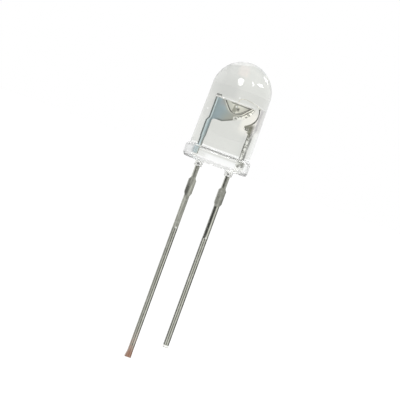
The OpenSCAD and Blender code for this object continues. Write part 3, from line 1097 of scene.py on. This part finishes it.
@dataclass
class EpoxyBody:
    """The cast epoxy: dome, drafted barrel, flange and the drops. Sizes in millimetres and degrees."""

    lens_d: float = 4.8
    draft: float = 1.1
    height: float = 8.6
    flange_d: float = 5.45
    flange_t: float = 1.14
    edge_r: float = 0.28
    low_r: float = 0.3
    root_r: float = 0.08
    flat_gap: float = 0.035
    lead_x: float = 1.27
    drop_r: float = 0.39
    drop_low_r: float = 0.315
    drop_h: float = 0.46
    drop_top: float = 0.3
    crease: float = 28.0
    turns: int = 256
    dome_steps: int = 72
    barrel_steps: int = 4
    root_steps: int = 12
    edge_steps: int = 16
    low_steps: int = 20
    drop_steps: int = 12

    def section(self) -> tuple[list[Point], float]:
        """Works out the body's section, from the dome's top down to the axis at the underside.

        Returns:
            The section's points, and the distance of the flange's flat from the axis.
        """
        slope = math.radians(self.draft)
        dome_r = self.lens_d / 2
        dome_z = self.height - dome_r
        meet_r = dome_r * math.cos(slope)
        meet_z = dome_z + dome_r * math.sin(slope)
        foot_r = meet_r + (meet_z - self.flange_t) * math.tan(slope)
        rim = self.flange_d / 2
        edge_x, edge_z = rim - self.edge_r, self.flange_t - self.edge_r
        reach = self.edge_r + self.root_r
        away = self.root_r + (foot_r - edge_x) * math.cos(slope) + self.edge_r * math.sin(slope)
        rise = math.sqrt(reach**2 - away**2)
        hollow_x = edge_x + away * math.cos(slope) - rise * math.sin(slope)
        hollow_z = edge_z + away * math.sin(slope) + rise * math.cos(slope)
        bend = math.degrees(math.atan2(hollow_z - edge_z, hollow_x - edge_x))
        points = arc(0, dome_z, dome_r, 90, self.draft, self.dome_steps)
        points[0] = (0.0, self.height)
        for i in range(1, self.barrel_steps):
            share = i / self.barrel_steps
            points.append((meet_r + (foot_r - meet_r) * share, meet_z + (self.flange_t - meet_z) * share))
        root = arc(hollow_x, hollow_z, self.root_r, 180 + self.draft, 180 + bend, self.root_steps)
        points += root[:-1]
        points += arc(edge_x, edge_z, self.edge_r, bend, 0, self.edge_steps)
        points += arc(rim - self.low_r, self.low_r, self.low_r, 0, -90, self.low_steps)
        points.append((0.0, 0.0))
        return points, foot_r + self.flat_gap

    def turned(self, name: str, points: list[Point], x: float = 0.0) -> Object:
        """Turns a section round an upright axis into a closed mesh.

        Args:
            name: The object's name.
            points: The section, from axis to axis.
            x: The axis's place along X.

        Returns:
            The new object, in millimetres.
        """
        bm = bmesh.new()
        rings: list[list[bmesh.types.BMVert]] = []
        for r, z in points:
            count = 1 if r < ON_AXIS else self.turns
            angles = (2 * math.pi * i / self.turns for i in range(count))
            rings.append([bm.verts.new((x + r * math.cos(a), r * math.sin(a), z)) for a in angles])
        for upper, lower in zip(rings, rings[1:]):
            for i in range(self.turns):
                j = (i + 1) % self.turns
                if len(upper) == 1:
                    bm.faces.new((upper[0], lower[i], lower[j]))
                elif len(lower) == 1:
                    bm.faces.new((upper[i], lower[0], upper[j]))
                else:
                    bm.faces.new((upper[i], lower[i], lower[j], upper[j]))
        bmesh.ops.recalc_face_normals(bm, faces=bm.faces)
        mesh = bpy.data.meshes.new(name)
        bm.to_mesh(mesh)
        bm.free()
        made = bpy.data.objects.new(name, mesh)
        bpy.context.collection.objects.link(made)
        return made

    def drop_section(self) -> list[Point]:
        """Works out the section of the drop that runs down a lead.

        Returns:
            The section's points, from axis to axis.
        """
        wide = self.drop_r - self.drop_low_r
        bow = (wide**2 + self.drop_h**2) / (2 * wide)
        start = math.asin(self.drop_h / bow)
        points = [(0.0, self.drop_top), (self.drop_r, self.drop_top)]
        for i in range(self.drop_steps + 1):
            a = start * (1 - i / self.drop_steps)
            points.append((self.drop_low_r + bow - bow * math.cos(a), -self.drop_h + bow * math.sin(a)))
        points.append((0.0, -self.drop_h))
        return points

    def build(self) -> Object:
        """Builds the body's outer surface as one closed mesh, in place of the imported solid.

        Returns:
            The dressed object.
        """
        points, flat_x = self.section()
        body = self.turned("epoxy_body", points)
        bpy.ops.mesh.primitive_cube_add(size=1)
        cutter = bpy.context.object
        reach = self.flange_t + self.root_r
        cutter.dimensions = (self.flange_d, 2 * self.flange_d, 2 * reach)
        cutter.location = (flat_x + self.flange_d / 2, 0, reach - self.flange_t)
        self.join(body, cutter, "DIFFERENCE")
        for side in Side:
            drop = self.turned("drop", self.drop_section(), side.value * self.lead_x)
            self.join(body, drop, "UNION")
        body.data.transform(Matrix.Scale(MM, 4))
        body.data.shade_smooth()
        body.data.set_sharp_from_angle(angle=math.radians(self.crease))
        dress(body, ClearEpoxy().material())
        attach(body, ROOT)
        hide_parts("epoxy_lens")
        return body

    @staticmethod
    def join(body: Object, tool: Object, operation: str) -> None:
        """Cuts or adds a tool to the body and removes the tool.

        Args:
            body: The object that is changed.
            tool: The object that cuts or is added.
            operation: The Boolean modifier's operation.
        """
        step = body.modifiers.new("join", "BOOLEAN")
        step.object, step.operation, step.solver = tool, operation, "EXACT"
        bpy.context.view_layer.objects.active = body
        bpy.ops.object.modifier_apply(modifier=step.name)
        bpy.data.objects.remove(tool)


# ---------------------------------------------------------------- the metal and the chip


@dataclass
class LeadFrames:
    """The two stamped frames that carry the chip, and their leads."""

    nodes: dict[str, Object]

    def dress(self) -> None:
        """Gives both frames their plated finish and its painted light and shade, with its marks counted from
        each lead's own end.
        """
        for name, side, finish in (
            ("anvil_lead", Side.LONG, AnvilSteel),
            ("post_lead", Side.SHORT, PostSteel),
        ):
            low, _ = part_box(name)
            dress(self.nodes[name], finish(side, low[2] / MM).material())


@dataclass
class ChipStack:
    """The chip, the adhesive under it and the wire on top of it."""

    nodes: dict[str, Object]

    def dress(self) -> None:
        """Gives the three small pieces their finishes."""
        for name, finish in (
            ("die_attach", PlainFinish("silver_adhesive", (0.55, 0.55, 0.53), 0.6)),
            ("led_die", PlainFinish("chip", (0.82, 0.8, 0.62), 0.3)),
            ("bond_wire", PlainFinish("gold", (0.86, 0.81, 0.68), 0.3, 1.0, 0.05)),
        ):
            dress(self.nodes[name], finish.material())


# ---------------------------------------------------------------- the studio


@dataclass(frozen=True)
class Softbox:
    """A rounded lamp that points at the part. Angles in degrees, distances in metres."""

    name: str
    towards: tuple[float, float, float]
    wide: float
    tall: float
    radiance: float
    tilt: float = 0.0
    away: float = 0.15

    def build(self, aim: Vector) -> None:
        """Places the lamp.

        Args:
            aim: The point that the lamp faces.
        """
        wide = 2 * self.away * math.tan(math.radians(self.wide / 2))
        tall = 2 * self.away * math.tan(math.radians(self.tall / 2))
        data = bpy.data.lights.new(self.name, "AREA")
        data.shape, data.size, data.size_y = "ELLIPSE", wide, tall
        # An elliptical lamp sends out its radiance times pi times its own area.
        data.energy = self.radiance * math.pi * (math.pi / 4 * wide * tall)
        lamp = bpy.data.objects.new(self.name, data)
        bpy.context.collection.objects.link(lamp)
        way = Vector(self.towards).normalized()
        lamp.location = aim + way * self.away
        lamp.rotation_mode = "QUATERNION"
        spin = Matrix.Rotation(math.radians(self.tilt), 4, "Z").to_quaternion()
        lamp.rotation_quaternion = way.to_track_quat("Z", "Y") @ spin


@dataclass
class Studio:
    """Camera, lamps, surroundings and floor. Lengths in millimetres, angles in degrees."""

    azimuth: float = -7.5
    elevation: float = 2.0
    roll: float = 20.1
    aim: tuple[float, float, float] = (-0.15, 0.0, -2.935)
    frame_width: float = 31.7
    lens: float = 135.0
    sensor: float = 36.0
    near: float = 0.05
    far: float = 20000.0
    lamp_aim: float = 5.0
    floor_gap: float = 0.03
    floor_side: float = 3000.0
    floor_tone: float = 0.9
    floor_glow: float = 1.15
    floor_share: float = 0.8
    plain_tone: float = 0.6
    leads_see: Colour = (0.6, 0.45, 1.0)
    frames_see: Colour = (1.0, 0.85, 1.0)
    front_end: Span = (-0.98, -0.5)
    back_start: Span = (-0.2, 0.5)
    level_end: Span = (0.45, 0.8)

    def camera(self) -> None:
        """Places the camera, rolled so that the part leans to the right."""
        data = bpy.data.cameras.new("camera")
        data.lens, data.sensor_width = self.lens, self.sensor
        away = self.frame_width * MM * self.lens / self.sensor
        data.clip_start, data.clip_end = away * self.near, self.far * MM
        camera = bpy.data.objects.new("camera", data)
        bpy.context.collection.objects.link(camera)
        a, e = math.radians(self.azimuth), math.radians(self.elevation)
        back = Vector((math.sin(a) * math.cos(e), -math.cos(a) * math.cos(e), math.sin(e)))
        camera.location = Vector(self.aim) * MM + back * away
        camera.rotation_mode = "QUATERNION"
        roll = Matrix.Rotation(math.radians(self.roll), 4, "Z").to_quaternion()
        camera.rotation_quaternion = (-back).to_track_quat("-Z", "Y") @ roll
        bpy.context.scene.camera = camera

    def surroundings(self) -> None:
        """Builds the white surroundings and the bands that metal reflects."""
        world = bpy.data.worlds.new("studio")
        bpy.context.scene.world = world
        world.use_nodes = True
        wires = Wires(world.node_tree)
        way = wires.add("TexCoord").outputs["Generated"]
        split = wires.add("SeparateXYZ")
        wires.feed(split.inputs[0], way)
        _, y, z = split.outputs
        path = wires.add("LightPath")
        inside = wires.math("GREATER_THAN", path.outputs["Glossy Depth"], 0.5)
        inside = wires.math("MULTIPLY", inside, path.outputs["Is Transmission Ray"])
        seen = wires.mix(inside, WHITE, self.surround(wires, y, z, self.frames_see))
        on_leads = self.surround(wires, y, z, self.leads_see)
        seen = wires.mix(path.outputs["Is Reflection Ray"], seen, on_leads)
        colour = wires.mix(path.outputs["Is Diffuse Ray"], seen, (self.plain_tone,) * 3)
        background = world.node_tree.nodes["Background"]
        wires.feed(background.inputs["Color"], colour)
        wires.feed(background.inputs["Strength"], 1.0)

    def surround(self, wires: Wires, y: NodeSocket, z: NodeSocket, tones: Colour) -> NodeSocket:
        """Builds the tone of the surroundings by direction.

        Args:
            wires: The world's wires.
            y: The socket of the direction's Y.
            z: The socket of the direction's Z.
            tones: The tone in front, at both sides and behind.

        Returns:
            The tone's socket.
        """
        front, side, back = tones
        facing = wires.ramp(y, *self.front_end, front, side)
        facing = wires.ramp(y, *self.back_start, facing, back)
        return wires.ramp(wires.math("ABSOLUTE", z), *self.level_end, facing, 1.0)

    def floor(self) -> None:
        """Builds the pale floor below the leads, which keeps the part's soft shadow."""
        low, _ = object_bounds()
        level = low[2] - self.floor_gap * MM
        bpy.ops.mesh.primitive_plane_add(size=self.floor_side * MM, location=(0, 0, level))
        floor = bpy.context.object
        floor.name = "floor"
        material, wires, shader = new_material("floor")
        wires.feed(shader.inputs["Base Color"], (self.floor_tone,) * 3)
        wires.feed(shader.inputs["Roughness"], 0.9)
        path = wires.add("LightPath")
        shown = wires.math("MAXIMUM", path.outputs["Is Camera Ray"], path.outputs["Is Glossy Ray"])
        shown = wires.math("MAXIMUM", shown, path.outputs["Is Transmission Ray"])
        light = wires.add("Emission")
        wires.feed(light.inputs["Color"], WHITE)
        wires.feed(light.inputs["Strength"], self.floor_glow)
        blend = wires.add("MixShader")
        wires.feed(blend.inputs[0], wires.math("MULTIPLY", shown, self.floor_share))
        wires.feed(blend.inputs[1], shader.outputs[0])
        wires.feed(blend.inputs[2], light.outputs[0])
        output = material.node_tree.nodes["Material Output"]
        wires.feed(output.inputs["Surface"], blend.outputs[0])
        floor.data.materials.append(material)
        floor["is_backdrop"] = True

    def lamps(self) -> None:
        """Places the lamps whose reflections show on the dome."""
        aim = Vector((0, 0, self.lamp_aim * MM))
        for box in (
            Softbox("window", (-0.363, -0.745, 0.56), 22, 32, 9.0, 22.0),
            Softbox("small_box", (0.389, -0.66, 0.643), 8, 18, 7.0),
            Softbox("strip", (0.735, -0.27, 0.622), 30, 10, 7.0, -15.0),
            Softbox("rear_strip", (0.643, 0.51, 0.605), 12, 15, 8.0),
        ):
            box.build(aim)

    def build(self) -> None:
        """Builds the whole studio."""
        self.surroundings()
        self.floor()
        self.lamps()
        self.camera()
        bpy.context.scene.view_settings.view_transform = "Standard"


def main() -> None:
    """Builds the part's pieces in order, then the studio round them."""
    logging.basicConfig(level=logging.INFO, format="%(name)s: %(message)s")
    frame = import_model()
    Effects().build()
    LOG.info("shared effects built")
    body = EpoxyBody().build()
    LOG.info("epoxy body: %d faces", len(body.data.polygons))
    LeadFrames(frame["nodes"]).dress()
    LOG.info("lead frames dressed")
    ChipStack(frame["nodes"]).dress()
    LOG.info("chip stack dressed")
    Studio().build()
    LOG.info("studio built")


if __name__ == "__main__":
    main()
